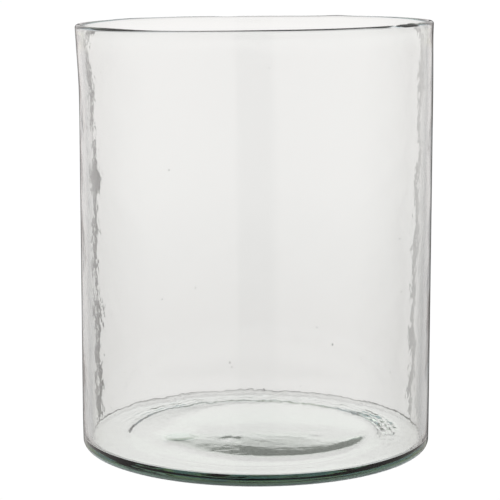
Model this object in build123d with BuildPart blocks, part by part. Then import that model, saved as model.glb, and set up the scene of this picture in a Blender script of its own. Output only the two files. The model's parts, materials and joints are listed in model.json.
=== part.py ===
"""Hand-blown glass cylinder vase, modelled as the four zones of its one glass body.

The zones are the rim, the wall, the heel and the floor. They meet face to face, as the
glass does, and none of them moves. Millimetres, +Z up. The origin is the centre of the
standing plane, on the vase's axis.
"""

import os

from build123d import *

# ---------------------------------------------------------------- driving dimensions
outer_diameter = 180.0  # across the straight wall
height = 218.0  # standing plane to the top of the rim
wall_thickness = 3.0

rim_bead_swell = 0.2  # the fire-polished lip is this much thicker than the wall
rim_zone_height = 8.0  # the wall swells into the bead over this height

floor_thickness = 6.0  # glass between the standing ring and the inner floor
heel_radius = 3.6  # outer rounding between wall and underside
inner_corner_radius = 2.0  # inner rounding between wall and floor
standing_ring_width = 17.4  # flat ring that the vase stands on

push_up_height = 0.8  # rise of the underside at its centre
crown_margin = 15.0  # flat ring of the inner floor between the heel zone and the crown
crown_height = 1.9  # rise of the inner floor at its centre

# ---------------------------------------------------------------- derived places
outer_radius = outer_diameter / 2
inner_radius = outer_radius - wall_thickness
push_up_radius = outer_radius - heel_radius - standing_ring_width
crown_radius = push_up_radius - crown_margin
wall_bottom = max(floor_thickness + inner_corner_radius, heel_radius)
wall_top = height - rim_zone_height

bead_outer_radius = outer_radius + rim_bead_swell
bead_radius = (bead_outer_radius - inner_radius) / 2
bead_center_radius = inner_radius + bead_radius
bead_center_height = height - bead_radius
swell_middle = (
    (outer_radius + bead_outer_radius) / 2,
    (wall_top + bead_center_height) / 2,
)


# ---------------------------------------------------------------- rim
# A ring whose inside is flush with the bore. Its outside swells from the wall's
# thickness to the bead's in two equal arcs, and its top is a half round.
with BuildPart() as rim:
    with BuildSketch(Plane.XZ):
        with BuildLine():
            Line((inner_radius, bead_center_height), (inner_radius, wall_top))
            Line((inner_radius, wall_top), (outer_radius, wall_top))
            TangentArc((outer_radius, wall_top), swell_middle, tangent=(0, 1))
            TangentArc((bead_outer_radius, bead_center_height), swell_middle, tangent=(0, -1))
            ThreePointArc(
                (bead_outer_radius, bead_center_height),
                (bead_center_radius, height),
                (inner_radius, bead_center_height),
            )
        make_face()
    revolve(axis=Axis.Z)

# ---------------------------------------------------------------- wall
# The straight tube between the heel and the rim.
with BuildPart() as wall:
    with BuildSketch(Plane.XY.offset(wall_bottom)):
        Circle(outer_radius)
        Circle(inner_radius, mode=Mode.SUBTRACT)
    extrude(amount=wall_top - wall_bottom)

# ---------------------------------------------------------------- heel
# The ring that carries the vase. It holds the standing ring below, the rounded
# outer corner, the inner corner's fillet and the flat edge of the inner floor.
with BuildPart() as heel:
    with BuildSketch(Plane.XZ):
        with BuildLine():
            Polyline(
                (inner_radius - inner_corner_radius, floor_thickness),
                (push_up_radius, floor_thickness),
                (push_up_radius, 0),
                (outer_radius - heel_radius, 0),
            )
            RadiusArc(
                (outer_radius - heel_radius, 0),
                (outer_radius, heel_radius),
                -heel_radius,
            )
            Polyline(
                (outer_radius, heel_radius),
                (outer_radius, wall_bottom),
                (inner_radius, wall_bottom),
            )
            RadiusArc(
                (inner_radius, wall_bottom),
                (inner_radius - inner_corner_radius, floor_thickness),
                inner_corner_radius,
            )
        make_face()
    revolve(axis=Axis.Z)

# ---------------------------------------------------------------- floor
# The disc inside the heel. Its underside is pushed up clear of the table, and the
# middle of its top is crowned over the push-up.
with BuildPart() as floor:
    with BuildSketch(Plane.XZ):
        with BuildLine():
            TangentArc((0, push_up_height), (push_up_radius, 0), tangent=(1, 0))
            Polyline(
                (push_up_radius, 0),
                (push_up_radius, floor_thickness),
                (crown_radius, floor_thickness),
            )
            TangentArc(
                (0, floor_thickness + crown_height),
                (crown_radius, floor_thickness),
                tangent=(1, 0),
            )
            Line((0, floor_thickness + crown_height), (0, push_up_height))
        make_face()
    revolve(axis=Axis.Z)

# ---------------------------------------------------------------- export
os.makedirs("parts", exist_ok=True)
zones = {"rim": rim, "wall": wall, "heel": heel, "floor": floor}
for name, zone in zones.items():
    zone.part.label = name
    export_step(zone.part, f"parts/{name}.step")
    print(name, "volume", round(zone.part.volume / 1000, 1), "cm3")
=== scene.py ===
"""Hand-blown glass cylinder vase: one clear glass body, the floor it stands on and soft studio light.

The body replaces the rim, wall, heel and floor of the frame. It is one closed surface, because the
vase is one gather of glass. Lengths are in metres.
"""

import json
import math

import bpy
import numpy as np
from bpy.props import FloatProperty, FloatVectorProperty, IntProperty, PointerProperty
from bpy.types import Operator, Panel, PropertyGroup
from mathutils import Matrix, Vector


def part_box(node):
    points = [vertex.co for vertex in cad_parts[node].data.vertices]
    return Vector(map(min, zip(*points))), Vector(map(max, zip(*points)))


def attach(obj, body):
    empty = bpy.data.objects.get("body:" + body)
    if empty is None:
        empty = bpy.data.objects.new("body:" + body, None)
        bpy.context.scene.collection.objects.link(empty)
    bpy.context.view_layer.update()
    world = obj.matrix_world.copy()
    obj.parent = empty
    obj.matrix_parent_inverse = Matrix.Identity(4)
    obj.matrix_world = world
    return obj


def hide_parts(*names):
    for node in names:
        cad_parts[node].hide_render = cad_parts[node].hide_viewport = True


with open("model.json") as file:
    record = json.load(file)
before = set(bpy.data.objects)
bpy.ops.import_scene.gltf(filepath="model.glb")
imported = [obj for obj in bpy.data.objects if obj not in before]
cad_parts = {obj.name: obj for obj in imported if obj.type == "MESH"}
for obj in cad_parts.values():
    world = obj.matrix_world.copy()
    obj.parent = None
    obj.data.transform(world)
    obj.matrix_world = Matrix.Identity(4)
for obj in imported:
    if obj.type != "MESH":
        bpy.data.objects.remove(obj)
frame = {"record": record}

bl_info = {
    "name": "Blown glass cylinder vase",
    "version": (1, 0, 0),
    "blender": (4, 5, 0),
    "location": "View3D > Sidebar > Vase",
    "description": "Makes a hand-blown glass cylinder vase with its seeds, waviness, floor and light",
    "category": "Object",
}

# ------------------------------------------------------------------ sizes taken from the frame
RIM_LOW, RIM_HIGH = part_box("rim")
WALL_LOW, WALL_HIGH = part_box("wall")
FLOOR_LOW, FLOOR_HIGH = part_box("floor")
MOUTH = next(mount for mount in frame["record"]["mounts"] if mount["name"] == "mouth")

OUTER_RADIUS = WALL_HIGH[0]
INNER_RADIUS = MOUTH["dims"]["r_mm"] / 1000
BEAD_THICKNESS = RIM_HIGH[0] - INNER_RADIUS
HEIGHT = RIM_HIGH[2]
WALL_TOP = WALL_HIGH[2]
WALL_BOTTOM = WALL_LOW[2]
PUSH_UP_RADIUS = FLOOR_HIGH[0]
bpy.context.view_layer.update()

MM = 0.001
FULL_TURN = 2 * math.pi
WHITE = 1.02  # a little over one, so that the sweep and the backdrop show as plain white


# ------------------------------------------------------------------ settings
class VaseShape(PropertyGroup):
    """Sizes of the glass body that the frame doesn't hold."""

    floor_thickness: FloatProperty(
        name="Floor thickness", description="Glass between the table and the inner floor",
        default=6.0 * MM, unit="LENGTH")
    heel_radius: FloatProperty(
        name="Heel radius", description="Outer rounding between wall and underside",
        default=3.6 * MM, unit="LENGTH")
    corner_radius: FloatProperty(
        name="Corner radius", description="Inner rounding between wall and floor, at its tightest",
        default=0.6 * MM, unit="LENGTH")
    push_up: FloatProperty(
        name="Push-up", description="Rise of the underside at its centre",
        default=0.8 * MM, unit="LENGTH")
    ring_step: FloatProperty(
        name="Ring step", description="Sharp part of that rise, at the standing ring's inner edge",
        default=0.25 * MM, unit="LENGTH")
    crown_radius: FloatProperty(
        name="Crown radius", description="Radius of the raised middle of the inner floor",
        default=54.0 * MM, unit="LENGTH")
    crown_height: FloatProperty(
        name="Crown height", description="Rise of the inner floor at its centre",
        default=1.9 * MM, unit="LENGTH")
    ledge_height: FloatProperty(
        name="Ledge height", description="Extra step at the crown's edge, on its near +X side",
        default=0.35 * MM, unit="LENGTH")
    crown_offset: FloatProperty(
        name="Crown offset", description="How far the crown sits off the axis",
        default=6.0 * MM, unit="LENGTH")
    ripple_height: FloatProperty(
        name="Ripple height", description="Height of the ripples where cold iron touched the floor",
        default=0.010 * MM, unit="LENGTH")
    lip_rise: FloatProperty(
        name="Lip rise", description="Height of the rounded top of the rim",
        default=1.6 * MM, unit="LENGTH")
    taper: FloatProperty(
        name="Taper", description="How much thinner the wall is at the mouth than at the heel",
        default=1.2 * MM, unit="LENGTH")
    rim_tilt: FloatProperty(
        name="Rim tilt", description="How much higher the rim is at +X than at its middle",
        default=1.0 * MM, unit="LENGTH")
    flare: FloatProperty(
        name="Flare", description="How far the mouth opens out on its -X side",
        default=1.6 * MM, unit="LENGTH")
    thickness_wave: FloatProperty(
        name="Thickness wave", description="How far the inner wall wanders from a true cylinder",
        default=0.10 * MM, unit="LENGTH")
    segments: IntProperty(
        name="Segments", description="Number of faces round the vase", default=344, min=32)


class VaseSeeds(PropertyGroup):
    """The small air bubbles held in the glass."""

    count: IntProperty(name="Seeds", description="Number of bubbles", default=56, min=0)
    smallest: FloatProperty(
        name="Smallest", description="Radius of the smallest bubble", default=0.16 * MM, unit="LENGTH")
    largest: FloatProperty(
        name="Largest", description="Radius of the largest bubble", default=0.42 * MM, unit="LENGTH")
    random_seed: IntProperty(name="Layout", description="Number that fixes their places", default=11)


class VaseFinish(PropertyGroup):
    """Colour and surface of the glass."""

    tint: FloatVectorProperty(
        name="Tint", description="Colour that the glass keeps over a long path",
        subtype="COLOR", default=(0.36, 0.51, 0.44), min=0.0, max=1.0)
    density: FloatProperty(
        name="Absorption", description="How fast the glass takes light away, per metre", default=19.0)
    ior: FloatProperty(name="Index", description="Refractive index of soda-lime glass", default=1.5)
    pebble_height: FloatProperty(
        name="Pebble", description="Height of the fine unevenness of the inner wall",
        default=0.05 * MM, unit="LENGTH")
    pebble_size: FloatProperty(
        name="Pebble size", description="Width of one swell of the fine unevenness",
        default=7.0 * MM, unit="LENGTH")


class VaseStage(PropertyGroup):
    """Floor, light and camera."""

    floor_radius: FloatProperty(
        name="Floor radius", description="Radius of the pale floor", default=40.0, unit="LENGTH")
    camera_distance: FloatProperty(
        name="Camera distance", description="Level distance from the vase's axis",
        default=0.975, unit="LENGTH")
    camera_height: FloatProperty(
        name="Camera height", description="Height above the floor", default=0.2586, unit="LENGTH")
    camera_side: FloatProperty(
        name="Camera side step", description="How far the camera stands to -X",
        default=0.00306, unit="LENGTH")
    camera_pitch: FloatProperty(
        name="Camera pitch", description="How far the camera looks down",
        default=math.radians(9.18), subtype="ANGLE")
    lens: FloatProperty(name="Lens", description="Focal length in millimetres", default=137.7)


# ------------------------------------------------------------------ mesh helpers
def arc(centre, radius, start, end, count):
    """Points on a circle in the (r, z) plane: centre plus radius times (cos, sin) of even angles."""
    angle = np.radians(np.linspace(start, end, count))
    return np.column_stack((centre[0] + radius * np.cos(angle), centre[1] + radius * np.sin(angle)))


def line(start, end, count):
    """Even points on a straight line in the (r, z) plane, without its two ends."""
    step = np.linspace(0.0, 1.0, count + 2)[1:-1, None]
    return (1 - step) * np.array(start) + step * np.array(end)


def smooth_step(low, high, value):
    """Zero below low, one above high, and 3t^2 - 2t^3 between them."""
    t = np.clip((value - low) / (high - low), 0.0, 1.0)
    return t * t * (3 - 2 * t)


def soft_ramp(value, rounding):
    """Zero for negative values and the value itself for positive ones, rounded at zero.

    It is half of the value plus the root of its square and the rounding's square.
    """
    return 0.5 * (value + np.sqrt(value * value + rounding * rounding))


def wave(distance, length, phase=0.0):
    """A sine of the distance, with its length in millimetres and its phase in radians."""
    return np.sin(FULL_TURN * distance / (length * MM) + phase)


# The underside's mesh is fine between the first two radii, where the ring steps up, and the inner
# floor's between the last two, where the ripples are.
STEP_IN, STEP_OUT = 0.88 * PUSH_UP_RADIUS, 1.01 * PUSH_UP_RADIUS
RIPPLES_IN, RIPPLES_OUT = 62 * MM, 77 * MM


def profile(shape):
    """The closed outline of the vase from the middle of the underside to the middle of the floor.

    It runs out along the underside, round the heel, up the outer wall, over the bead, down the
    inner wall, round the inner corner and in along the floor. Returns the points as (r, z) and,
    for each, how strongly the blower's tools have marked it.
    """
    bead = BEAD_THICKNESS / 2
    lip_foot = HEIGHT - shape.lip_rise
    floor = shape.floor_thickness
    heel_centre = (OUTER_RADIUS - shape.heel_radius, shape.heel_radius)
    corner_centre = (INNER_RADIUS - shape.corner_radius, floor + shape.corner_radius)
    stretches = [
        (line((0, 0), (STEP_IN, 0), 11), 0.5),
        (line((STEP_IN, 0), (STEP_OUT, 0), 18), 0.5),
        (line((1.02 * PUSH_UP_RADIUS, 0), (heel_centre[0], 0), 5), 0.4),
        (arc(heel_centre, shape.heel_radius, -90, 0, 11), 0.3),
        (line((OUTER_RADIUS, shape.heel_radius), (OUTER_RADIUS, WALL_TOP), 56), 0.25),
        (line((OUTER_RADIUS, WALL_TOP), (INNER_RADIUS + 2 * bead, lip_foot), 6), 0.1),
        (arc((0, 0), 1, 0, 180, 15) * (bead, shape.lip_rise) + (INNER_RADIUS + bead, lip_foot), 0.05),
        (line((INNER_RADIUS, lip_foot), (INNER_RADIUS, corner_centre[1]), 72), 1.0),
        (arc(corner_centre, shape.corner_radius, 0, -90, 9), 1.0),
        (line((corner_centre[0], floor), (RIPPLES_OUT, floor), 4), 0.6),
        (line((RIPPLES_OUT, floor), (RIPPLES_IN, floor), 28), 0.6),
        (line((RIPPLES_IN, floor), (0, floor), 32), 0.6),
    ]
    points = np.vstack([stretch for stretch, _ in stretches])
    marks = np.concatenate([np.full(len(stretch), mark) for stretch, mark in stretches])
    return points, marks


def wander(angle, height, waves):
    """A slow wave over the wall: the sum of size * cos(turns * angle + pitch * height + phase)."""
    total = np.zeros_like(angle)
    for size, turns, wavelength, phase in waves:
        total += size * np.cos(turns * angle + FULL_TURN * height / wavelength + phase)
    return total


# Waves of the two faces of the wall: size, turns round the axis, length up the wall in metres and phase.
OUTER_WAVES = ((0.45, 2, 0.60, 0.4), (0.25, 3, 0.35, 2.1), (0.12, 5, 0.22, 4.0))
INNER_WAVES = (
    (0.50, 1, 0.50, 1.0), (0.24, 3, 0.30, 2.7), (0.16, 5, 0.16, 0.3), (0.14, -7, 0.11, 5.1),
    (0.13, 9, 0.075, 3.3), (0.11, -13, 0.055, 1.9), (0.09, 17, 0.036, 4.4), (0.07, -22, 0.024, 0.8),
)


def around(angle, place, width):
    """One at an angle, falling off as a bell curve of the turn away from it; all in degrees."""
    away = np.degrees(np.angle(np.exp(1j * (angle - math.radians(place)))))
    return np.exp(-((away / width) ** 2))


# Where the standing ring's step is wide: angle and half-width in degrees, then millimetres wider.
WIDE_STEPS = ((15.0, 32.0, 4.0), (207.0, 24.0, 6.0), (333.0, 24.0, 6.0))


def underside(shape, angle, base_radius):
    """Height of the underside inside the standing ring.

    A smooth step leads up from the ring. It wanders with two cosines of the angle, and is widened
    by bell curves where the iron leaned on it. Inside it the glass rises as one minus the square
    of the radius.
    """
    edge = PUSH_UP_RADIUS - (1.2 + 0.5 * np.cos(4 * angle + 1.0) + 0.35 * np.cos(9 * angle)) * MM
    width = 1.6 + 0.5 * np.cos(3 * angle + 2.0)
    for place, spread, wider in WIDE_STEPS:
        width = width + wider * around(angle, place, spread)
    step = shape.ring_step * (1 - smooth_step(edge - width * MM, edge, base_radius))
    share = np.clip(base_radius / PUSH_UP_RADIUS, 0.0, 1.0)
    return step + (shape.push_up - shape.ring_step) * (1 - share ** 2)


def floor_drift(angle, radius):
    """Slow fall and rise of the inner floor: the cosine of three turns by the square of the radius."""
    return 0.12 * MM * np.cos(3 * angle + 0.6) * (radius / OUTER_RADIUS) ** 2


# Dents and knots in the inner floor, in millimetres: place on X and Y, half-width and rise.
FLOOR_DENTS = (
    (-14.5, -24.0, 3.4, -0.13), (-9.5, -21.0, 1.8, 0.12), (31.0, -9.0, 3.4, -0.10),
    (-41.0, -12.0, 8.5, 0.7), (-31.5, -60.0, 1.2, 0.12), (26.0, -62.0, 1.2, 0.12),
)


def inner_floor(shape, angle, base_radius, x, y):
    """Height of the inner floor over a level one.

    An off-centre crown rises as one minus the square of the distance from its middle, with a low
    ridge near its edge on one side. The slow drift is added, and each dent is a bell curve.
    """
    share = np.hypot(x - shape.crown_offset, y) / shape.crown_radius
    crown = shape.crown_height * soft_ramp(1 - share ** 2, 0.04)
    ledge = smooth_step(0.55, 0.90, share) * (1 - smooth_step(0.90, 1.0, share))
    ledge = shape.ledge_height * around(angle, -22.0, 36.0) * ledge
    total = crown + ledge + floor_drift(angle, base_radius)
    for place_x, place_y, width, rise in FLOOR_DENTS:
        away = np.hypot(x - place_x * MM, y - place_y * MM) / (width * MM)
        total += rise * MM * np.exp(-(away ** 2))
    return total


# Ripples on the crown's near slope: length in millimetres, heading in degrees and phase.
CROWN_RIPPLES = ((13.0, 70.0, 0.4), (8.5, 115.0, 2.2), (6.0, 88.0, 4.1))
# Where the rings of ripples are strong: angle and half-width in degrees, then strength.
RING_RIPPLES = ((14.0, 26.0, 0.4), (142.0, 26.0, 0.45), (80.0, 30.0, 0.2))
# How high each kind stands, in ripple heights.
CROWN_SHARE, RING_SHARE, TOOTH_SHARE, COMB_SHARE = 0.55, 12, 42, 5


def floor_ripples(shape, angle, base_radius, x, y):
    """Height of the ripples that cold iron left in the inner floor.

    On the crown's near slope they are the sum of three plane waves. Near the standing ring they
    are rings: a sine of the radius, bent by sines of the angle. On a patch at +X there are also
    teeth, which climb over four fifths of their length and drop over the last, and a comb of two
    bent plane waves. Each is weighed by smooth steps in the distance and bell curves in the angle.
    """
    share = np.hypot(x - shape.crown_offset, y) / shape.crown_radius
    slope = smooth_step(0.2, 0.7, share) * (1 - smooth_step(0.95, 1.02, share))
    slope = slope * around(angle, -100.0, 75.0)
    clouds = np.zeros_like(x)
    for length, heading, phase in CROWN_RIPPLES:
        along = x * math.cos(math.radians(heading)) + y * math.sin(math.radians(heading))
        clouds += length / CROWN_RIPPLES[0][0] * wave(along, length, phase)

    zone = smooth_step(63 * MM, 66 * MM, base_radius) * (1 - smooth_step(73 * MM, 76 * MM, base_radius))
    ring = zone * sum(strength * around(angle, place, spread) for place, spread, strength in RING_RIPPLES)
    bend = 1.6 * np.sin(9 * angle + 0.5) + 0.9 * np.sin(23 * angle) + 0.7 * np.sin(57 * angle)
    streaks = wave(base_radius, 3.4, bend) * (0.7 + 0.3 * np.sin(31 * angle + 1.0))

    patch = zone * around(angle, 12.0, 24.0)
    comb = wave(0.97 * y - 0.26 * x, 9.1, 1.6 * wave(x, 13))
    comb += 0.7 * wave(0.82 * y + 0.57 * x, 6.3, 1.2 * wave(y, 17))
    shift = 0.12 * np.sin(13 * angle) + 0.07 * np.sin(29 * angle + 1.0)
    tooth = (base_radius / (3.6 * MM) + shift) % 1.0
    tooth = np.minimum(tooth / 0.8, (1 - tooth) / 0.2)

    rough = RING_SHARE * ring * streaks + TOOTH_SHARE * patch * tooth + COMB_SHARE * patch * comb
    return shape.ripple_height * (CROWN_SHARE * slope * clouds + rough)


# Marks on the lip: angle and half-width in degrees, then rise and outward swell in millimetres.
LIP_MARKS = (
    (219.0, 14.0, 0.5, 0.35), (326.0, 5.5, 0.4, 0.5), (318.5, 1.4, -0.4, -0.5), (331.0, 1.5, -0.3, 0.1),
    (324.0, 1.2, -0.25, 0.0), (284.0, 36.0, 0.1, 0.38), (313.0, 6.0, 0.0, 0.2),
    (140.0, 7.0, 0.2, 0.1), (60.0, 5.0, 0.3, 0.2), (100.0, 4.0, -0.15, 0.0),
)


def blown_surface(shape):
    """The glass body as a grid: angle round the axis by distance along the outline.

    Returns the points and, for each, how strongly the tools have marked it. Each outline point is
    carried round the axis. The underside is raised inside the standing ring, and the inner floor is
    crowned. The walls wander with a few waves, the mouth flares, and the rim tilts with the angle's
    cosine.
    """
    outline, marks = profile(shape)
    turn = np.linspace(0.0, FULL_TURN, shape.segments, endpoint=False)
    angle, base_radius = np.meshgrid(turn, outline[:, 0], indexing="ij")
    _, base_height = np.meshgrid(turn, outline[:, 1], indexing="ij")
    count = len(outline)

    rim_crest = int(np.argmax(outline[:, 1]))
    inside = np.broadcast_to(np.arange(count) > rim_crest, base_radius.shape)
    low = base_height < shape.floor_thickness + 0.01 * MM
    under = low & ~inside & (base_radius < STEP_OUT)
    on_floor = low & inside
    corner = inside & ~low

    # The walls: a slow wander of both faces, and a finer one of the inner face alone.
    lift = smooth_step(0.0, WALL_BOTTOM * 2, base_height)
    radius = base_radius + 0.35 * MM * lift * wander(angle, base_height, OUTER_WAVES)
    inner_lift = smooth_step(shape.floor_thickness, WALL_BOTTOM * 2, base_height)
    inner_lift = inner_lift * (1 - 0.7 * smooth_step(WALL_TOP, HEIGHT, base_height))
    radius += np.where(
        inside, shape.thickness_wave * inner_lift * wander(angle, base_height, INNER_WAVES), 0.0)
    climb = np.clip((base_height - WALL_BOTTOM) / (WALL_TOP - WALL_BOTTOM), 0.0, 1.0)
    thin = shape.taper * (climb - 0.5) * (1 - 0.8 * smooth_step(WALL_TOP - 8 * MM, HEIGHT, base_height))
    radius += np.where(inside & (base_height > shape.floor_thickness + 0.01 * MM), thin, 0.0)

    # The mouth flares, most on the -X side, and the rim's height wanders a little.
    mouth = smooth_step(HEIGHT - 45 * MM, HEIGHT, base_height)
    flare = 1.25 * (0.5 - 0.5 * np.cos(angle)) ** 2 - 0.25
    radius += shape.flare * flare * mouth ** 1.5
    tilt = np.cos(angle) + 0.25 * np.cos(2 * angle + 0.8) + 0.12 * np.cos(5 * angle + 2.0)
    height = base_height + shape.rim_tilt * tilt * smooth_step(0.35 * HEIGHT, HEIGHT, base_height)

    # The lip is thicker where the punty left it and pinched where the shears cut it.
    lip = np.clip((base_height - HEIGHT) / shape.lip_rise + 1, 0.0, 1.0)
    for place, width, rise, swell in LIP_MARKS:
        near = around(angle, place, width)
        height += lip * rise * MM * near
        radius += lip * swell * MM * near

    x = radius * np.cos(angle)
    y = radius * np.sin(angle)

    height += np.where(under, underside(shape, angle, base_radius), 0.0)
    floor = inner_floor(shape, angle, base_radius, x, y) + floor_ripples(shape, angle, base_radius, x, y)
    height += np.where(on_floor, floor, 0.0)

    # The foot of the inner wall follows the floor's drift.
    corner_edge = INNER_RADIUS - (WALL_BOTTOM - shape.floor_thickness)
    fade = 1 - smooth_step(shape.floor_thickness, WALL_BOTTOM * 3, base_height)
    height += np.where(corner, fade * floor_drift(angle, corner_edge), 0.0)

    # The glass was worked least on its +X side.
    return np.stack((x, y, height), axis=-1), marks * (1 - 0.6 * around(angle, 5.0, 35.0))


def grid_faces(turns, along):
    """Quads of a grid that closes round its first index, ordered to face away from the glass."""
    i, j = np.meshgrid(np.arange(turns), np.arange(along - 1), indexing="ij")
    here = i * along + j
    beside = ((i + 1) % turns) * along + j
    return np.stack((here, beside, beside + 1, here + 1), axis=-1).reshape(-1, 4)


def cap_faces(turns, along, column, pole, flip):
    """A fan of triangles from one column of the grid to its pole."""
    here = np.arange(turns) * along + column
    beside = np.roll(here, -1)
    ends = (beside, here) if flip else (here, beside)
    return np.stack((np.full(turns, pole), *ends), axis=-1)


def bubble_shell(segments=10, rings=7):
    """A unit sphere as points and triangles that face its middle, so that a bubble is a hollow."""
    polar = np.linspace(0, math.pi, rings + 1)[1:-1]
    turn = np.linspace(0, FULL_TURN, segments, endpoint=False)
    turn, polar = np.meshgrid(turn, polar, indexing="ij")
    body = np.stack((np.sin(polar) * np.cos(turn), np.sin(polar) * np.sin(turn), np.cos(polar)), -1)
    points = np.vstack((body.reshape(-1, 3), [[0, 0, 1], [0, 0, -1]]))
    quads = grid_faces(segments, rings - 1)
    body_triangles = np.vstack((quads[:, [0, 1, 2]], quads[:, [0, 2, 3]]))
    top = cap_faces(segments, rings - 1, 0, len(points) - 2, False)
    bottom = cap_faces(segments, rings - 1, rings - 2, len(points) - 1, True)
    return points, np.vstack((body_triangles, top, bottom))


def seeds(settings):
    """Bubbles spread through the wall: a shell scaled and moved to each place, as one array.

    A bubble sits in the middle of the wall, is a little taller than wide, and keeps clear of both
    faces of the glass.
    """
    rng = np.random.default_rng(settings.random_seed)
    count = settings.count
    turn = rng.uniform(0, FULL_TURN, count)
    height = rng.uniform(WALL_BOTTOM + 6 * MM, WALL_TOP - 10 * MM, count)
    size = settings.smallest + (settings.largest - settings.smallest) * rng.uniform(0, 1, count) ** 3
    stretch = rng.uniform(1.0, 1.9, count)
    middle = (OUTER_RADIUS + INNER_RADIUS) / 2
    place = np.stack((middle * np.cos(turn), middle * np.sin(turn), height), axis=-1)
    shell, triangles = bubble_shell()
    scale = np.stack((size, size, size * stretch), axis=-1)
    points = place[:, None, :] + shell[None, :, :] * scale[:, None, :]
    offsets = np.arange(count)[:, None, None] * len(shell)
    return points.reshape(-1, 3), (triangles[None] + offsets).reshape(-1, 3)


def mesh_object(name, points, quads, triangles, marks):
    """A smooth-shaded mesh object at the origin, from arrays of points, quads and triangles."""
    mesh = bpy.data.meshes.new(name)
    corners = np.concatenate((quads.ravel(), triangles.ravel())).astype(np.int32)
    sizes = np.concatenate((np.full(len(quads), 4), np.full(len(triangles), 3)))
    starts = np.concatenate(([0], np.cumsum(sizes)[:-1])).astype(np.int32)
    mesh.vertices.add(len(points))
    mesh.vertices.foreach_set("co", points.astype(np.float32).ravel())
    mesh.loops.add(len(corners))
    mesh.loops.foreach_set("vertex_index", corners)
    mesh.polygons.add(len(sizes))
    mesh.polygons.foreach_set("loop_start", starts)
    mesh.polygons.foreach_set("use_smooth", np.ones(len(sizes), dtype=bool))
    mesh.update(calc_edges=True)
    if mesh.validate():
        raise RuntimeError(f"{name}: the mesh had faults")
    attribute = mesh.attributes.new("tool_marks", "FLOAT", "POINT")
    attribute.data.foreach_set("value", marks.astype(np.float32))
    piece = bpy.data.objects.new(name, mesh)
    bpy.context.scene.collection.objects.link(piece)
    return piece


# ------------------------------------------------------------------ materials
def node(tree, kind, **values):
    """Adds a node and sets its properties, and its inputs where the name is an input's."""
    made = tree.nodes.new(kind)
    for name, value in values.items():
        key = name.replace("_", " ")
        if key in made.inputs:
            made.inputs[key].default_value = value
        else:
            setattr(made, name, value)
    return made


def maths(tree, operation, *sources, clamp=False):
    """A Math node whose inputs are sockets or numbers."""
    made = node(tree, "ShaderNodeMath", operation=operation)
    made.use_clamp = clamp
    for slot, source in zip(made.inputs, sources):
        if isinstance(source, (int, float)):
            slot.default_value = source
        else:
            tree.links.new(source, slot)
    return made.outputs[0]


def noise(tree, place, size, detail):
    """Noise on the object's own coordinates, with swells of the given width."""
    made = node(tree, "ShaderNodeTexNoise", Scale=1 / size, Detail=detail)
    tree.links.new(place.outputs["Object"], made.inputs["Vector"])
    return made.outputs["Fac"]


def blown_glass(finish):
    """Clear soda-lime glass: a full-transmission shader, absorption inside, and a fine pebble.

    The pebble is two sizes of noise on the object's own coordinates. Its strength follows the
    tool marks, so the inner wall is uneven and the fire-polished bead is smooth.
    """
    material = bpy.data.materials.new("blown_glass")
    material.use_nodes = True
    tree = material.node_tree
    tree.nodes.clear()
    output = node(tree, "ShaderNodeOutputMaterial")
    shader = node(tree, "ShaderNodeBsdfPrincipled")
    shader.inputs["Base Color"].default_value = (1, 1, 1, 1)
    shader.inputs["Roughness"].default_value = 0.0
    shader.inputs["IOR"].default_value = finish.ior
    shader.inputs["Transmission Weight"].default_value = 1.0
    volume = node(tree, "ShaderNodeVolumeAbsorption")
    volume.inputs["Color"].default_value = (*finish.tint, 1)
    volume.inputs["Density"].default_value = finish.density

    place = node(tree, "ShaderNodeTexCoord")
    pebble = maths(
        tree, "MULTIPLY_ADD", noise(tree, place, finish.pebble_size / 2.7, 1.0), 0.22,
        noise(tree, place, finish.pebble_size, 2.0))
    marks = node(tree, "ShaderNodeAttribute", attribute_name="tool_marks")
    height = maths(
        tree, "MULTIPLY", maths(tree, "MULTIPLY", pebble, finish.pebble_height), marks.outputs["Fac"])
    bump = node(tree, "ShaderNodeBump", Distance=1.0, Strength=1.0)
    links = tree.links
    links.new(height, bump.inputs["Height"])
    links.new(bump.outputs["Normal"], shader.inputs["Normal"])
    links.new(shader.outputs[0], output.inputs["Surface"])
    links.new(volume.outputs[0], output.inputs["Volume"])
    return material


def pale_floor():
    """An evenly lit white sweep: plain emission."""
    material = bpy.data.materials.new("pale_floor")
    material.use_nodes = True
    tree = material.node_tree
    tree.nodes.clear()
    output = node(tree, "ShaderNodeOutputMaterial")
    glow = node(tree, "ShaderNodeEmission")
    glow.inputs["Color"].default_value = (1, 1, 1, 1)
    glow.inputs["Strength"].default_value = WHITE
    tree.links.new(glow.outputs[0], output.inputs["Surface"])
    return material


# ------------------------------------------------------------------ stage
def ramp(tree, stops, source):
    """A colour ramp from (place, colour) pairs, read at the source's value."""
    made = tree.nodes.new("ShaderNodeValToRGB")
    elements = made.color_ramp.elements
    while len(elements) > 1:
        elements.remove(elements[-1])
    for index, (position, colour) in enumerate(stops):
        element = elements[0] if index == 0 else elements.new(position)
        element.position = position
        element.color = (*colour, 1)
    tree.links.new(source, made.inputs["Fac"])
    return made.outputs["Color"]


def product(tree, first, second):
    """Two colours multiplied."""
    made = node(tree, "ShaderNodeMix", data_type="RGBA", blend_type="MULTIPLY")
    made.inputs[0].default_value = 1.0
    tree.links.new(first, made.inputs[6])
    tree.links.new(second, made.inputs[7])
    return made.outputs[2]


def choice(tree, factor, first, second):
    """The first colour where the factor is zero, and the second where it is one."""
    made = node(tree, "ShaderNodeMix", data_type="RGBA")
    tree.links.new(factor, made.inputs[0])
    for slot, source in ((6, first), (7, second)):
        if isinstance(source, tuple):
            made.inputs[slot].default_value = source
        else:
            tree.links.new(source, made.inputs[slot])
    return made.outputs[2]


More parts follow.
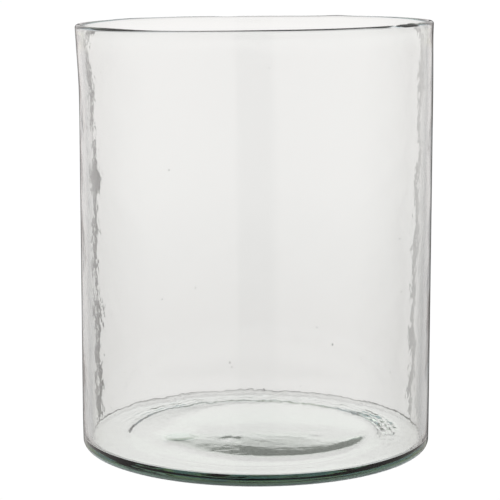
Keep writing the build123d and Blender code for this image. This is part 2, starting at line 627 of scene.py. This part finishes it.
def studio_light():
    """The studio as a world of levels by direction.

    The lens sees plain white. Light that has gone straight through the glass comes from a pale
    backdrop between darker flags, every eighth of a turn. Light that was reflected comes from soft
    boxes, from the floor below them and from the room above them. Light that was caught in the
    glass and reflected again and again comes from the edge levels.
    """
    world = bpy.data.worlds.new("studio")
    bpy.context.scene.world = world
    world.use_nodes = True
    tree = world.node_tree
    tree.nodes.clear()
    output = node(tree, "ShaderNodeOutputWorld")
    place = node(tree, "ShaderNodeTexCoord")
    path = node(tree, "ShaderNodeLightPath")
    split = node(tree, "ShaderNodeSeparateXYZ")
    tree.links.new(place.outputs["Generated"], split.inputs[0])
    x, y, z = split.outputs
    azimuth = maths(tree, "DEGREES", maths(tree, "ARCTAN2", x, y))
    elevation = maths(tree, "DEGREES", maths(tree, "ARCSINE", z))
    rise = maths(tree, "MULTIPLY_ADD", elevation, 1 / 180, 0.5)

    beside = maths(tree, "WRAP", azimuth, 22.5, -22.5)
    across = maths(tree, "MULTIPLY_ADD", beside, 1 / 45, 0.5, clamp=True)
    backdrop = product(tree, ramp(tree, BACKDROP_FLAGS, across), ramp(tree, BACKDROP_BY_HEIGHT, rise))

    turn = maths(tree, "MULTIPLY_ADD", azimuth, 1 / 360, 0.5)
    boxes = product(tree, ramp(tree, SOFT_BOXES, turn), ramp(tree, BOXES_BY_HEIGHT, rise))
    bounce = choice(tree, ramp(tree, BOXES_REACH, rise), ramp(tree, ROOM_BY_HEIGHT, rise), boxes)

    bounced = maths(tree, "SUBTRACT", path.outputs["Ray Depth"], path.outputs["Transmission Depth"])
    # The first surface that a ray meets counts as one, so one reflection makes two.
    reflected = maths(tree, "GREATER_THAN", bounced, 1.5)
    trapped = maths(tree, "GREATER_THAN", bounced, 3.5)
    bounce = choice(tree, trapped, bounce, ramp(tree, EDGE_BY_HEIGHT, rise))
    light = choice(tree, reflected, backdrop, bounce)
    seen = choice(tree, path.outputs["Is Camera Ray"], light, (WHITE, WHITE, WHITE, 1))
    glow = node(tree, "ShaderNodeBackground")
    tree.links.new(seen, glow.inputs["Color"])
    tree.links.new(glow.outputs[0], output.inputs["Surface"])


def by_angle(low, high, *levels, warmth=(1.0, 0.975, 0.965)):
    """Ramp stops from (degrees, level) pairs over a span of degrees, with the lamps' warm cast."""
    return tuple(
        ((degrees - low) / (high - low), tuple(level * cast for cast in warmth))
        for degrees, level in levels)


# Levels across one eighth of a turn, from the left flag to the right one.
BACKDROP_FLAGS = by_angle(
    -22.5, 22.5, (-22.5, 0.90), (-14.6, 1.0), (-13.4, 1.0), (-12.9, 0.16), (-10.9, 0.10), (-10.6, 0.94),
    (-7.0, 0.96), (-4.5, 1.0), (4.5, 1.0), (7.0, 0.945), (8.6, 0.90), (9.8, 0.965), (10.8, 0.965),
    (11.1, 0.42), (12.6, 0.46), (13.1, 0.90), (15.0, 0.96), (18.0, 0.80), (22.5, 0.90), warmth=(1, 1, 1))
# Levels of the backdrop by elevation, from straight down to straight up.
BACKDROP_BY_HEIGHT = (
    *by_angle(
        -90, 90, (-90, 0.9), (-65, 0.82), (-52, 0.6), (-38, 0.66), (-28, 0.88), (-18, 0.92),
        (-12, 0.915)),
    *by_angle(-90, 90, (-9.5, 0.95), (-7.6, 0.985), (4, 0.985), warmth=(1.0, 0.982, 0.972)),
    *by_angle(-90, 90, (9, 0.40), (34, 0.40), (70, 0.5), (90, 0.6), warmth=(1.0, 0.97, 0.75)))
# Levels of the soft boxes by azimuth, from the camera round by the left to the camera again.
SOFT_BOXES = by_angle(
    -180, 180, (-180, 0.25), (-168.5, 0.26), (-166.5, 0.50), (-120, 0.62), (-60, 0.76), (-30, 0.96),
    (-19, 0.94), (-14, 0.30), (0, 0.10), (12, 0.10), (18, 0.30), (24, 0.90), (30, 0.86), (60, 0.72),
    (120, 0.62), (166.5, 0.50), (168.5, 0.26), (180, 0.25))
BOXES_BY_HEIGHT = by_angle(
    -90, 90, (-90, 0.75), (-22, 0.75), (-14, 0.80), (-9, 0.9), (-6, 1.0), (90, 1.0))
# Where the soft boxes fill the view: one there, and zero on the floor and above the horizon.
BOXES_REACH = by_angle(
    -90, 90, (-90, 0.0), (-24, 0.0), (-20, 1.0), (2, 1.0), (5, 0.0), (90, 0.0), warmth=(1, 1, 1))
# Levels of the floor below them and of the room above them.
ROOM_BY_HEIGHT = (
    *by_angle(-90, 90, (-90, 0.92), (-55, 1.05), (-40, 1.05), (-26, 0.92), warmth=(0.94, 1.0, 1.02)),
    *by_angle(-90, 90, (-20, 0.95), (16, 0.97)),
    *by_angle(-90, 90, (19, 1.3), (28, 1.3), warmth=(0.95, 1.0, 0.92)),
    *by_angle(-90, 90, (32, 1.0), (90, 0.95)))
# Levels for light that was caught in the glass: cool low down, olive higher up.
EDGE_BY_HEIGHT = (
    *by_angle(-90, 90, (-90, 0.46), (1, 0.46), warmth=(0.82, 1.01, 1.14)),
    *by_angle(-90, 90, (7, 0.62), (20, 0.50), (90, 0.7), warmth=(0.95, 1.01, 0.62)))


# ------------------------------------------------------------------ operators
class VASE_OT_body(Operator):
    """Make the vase's glass body, with its seeds, in place of the rim, wall, heel and floor"""

    bl_idname = "vase.body"
    bl_label = "Glass body"

    def execute(self, context):
        scene = context.scene
        grid, marks = blown_surface(scene.vase_shape)
        turns, along = grid.shape[:2]
        first_pole = turns * along
        inner = np.vstack((grid[:, 0].mean(axis=0), grid[:, -1].mean(axis=0)))
        bubbles, bubble_triangles = seeds(scene.vase_seeds)
        points = np.vstack((grid.reshape(-1, 3), inner, bubbles))
        triangles = np.vstack((
            cap_faces(turns, along, 0, first_pole, True),
            cap_faces(turns, along, along - 1, first_pole + 1, False),
            bubble_triangles + first_pole + 2,
        ))
        strength = np.concatenate((marks.ravel(), marks[0, [0, -1]], np.zeros(len(bubbles))))
        body = mesh_object("glass_body", points, grid_faces(turns, along), triangles, strength)
        body.data.materials.append(blown_glass(scene.vase_finish))
        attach(body, "root")
        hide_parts("rim", "wall", "heel", "floor")
        return {"FINISHED"}


class VASE_OT_stage(Operator):
    """Make the floor, the studio light and the camera"""

    bl_idname = "vase.stage"
    bl_label = "Stage"

    def execute(self, context):
        stage = context.scene.vase_stage
        turn = np.linspace(0.0, FULL_TURN, 96, endpoint=False)
        ring = np.stack((np.cos(turn), np.sin(turn), np.zeros_like(turn)), axis=-1)
        mesh = bpy.data.meshes.new("floor_sweep")
        mesh.from_pydata((ring * stage.floor_radius).tolist(), [], [list(range(len(turn)))])
        sweep = bpy.data.objects.new("floor_sweep", mesh)
        context.scene.collection.objects.link(sweep)
        mesh.materials.append(pale_floor())
        sweep.visible_transmission = False
        sweep.visible_glossy = False
        sweep.visible_diffuse = False
        sweep.visible_shadow = False
        studio_light()

        camera_data = bpy.data.cameras.new("camera")
        camera_data.lens = stage.lens
        camera_data.clip_end = 4 * stage.floor_radius
        camera = bpy.data.objects.new("camera", camera_data)
        camera.location = (-stage.camera_side, -stage.camera_distance, stage.camera_height)
        camera.rotation_euler = (math.pi / 2 - stage.camera_pitch, 0, 0)
        context.scene.collection.objects.link(camera)
        context.scene.camera = camera
        context.scene.view_settings.view_transform = "Standard"
        return {"FINISHED"}


class VASE_PT_panel(Panel):
    """Lists the vase's operators"""

    bl_idname = "VASE_PT_panel"
    bl_label = "Glass vase"
    bl_space_type = "VIEW_3D"
    bl_region_type = "UI"
    bl_category = "Vase"

    def draw(self, context):
        for operator in OPERATORS:
            self.layout.operator(operator.bl_idname)


OPERATORS = (VASE_OT_body, VASE_OT_stage)
GROUPS = (
    ("vase_shape", VaseShape), ("vase_seeds", VaseSeeds),
    ("vase_finish", VaseFinish), ("vase_stage", VaseStage),
)


def register():
    for name, group in GROUPS:
        bpy.utils.register_class(group)
        setattr(bpy.types.Scene, name, PointerProperty(type=group))
    for part in (*OPERATORS, VASE_PT_panel):
        bpy.utils.register_class(part)


def unregister():
    for part in reversed((*OPERATORS, VASE_PT_panel)):
        bpy.utils.unregister_class(part)
    for name, group in reversed(GROUPS):
        delattr(bpy.types.Scene, name)
        bpy.utils.unregister_class(group)


def main():
    register()
    bpy.ops.vase.stage()
    bpy.ops.vase.body()


if __name__ == "__main__":
    main()
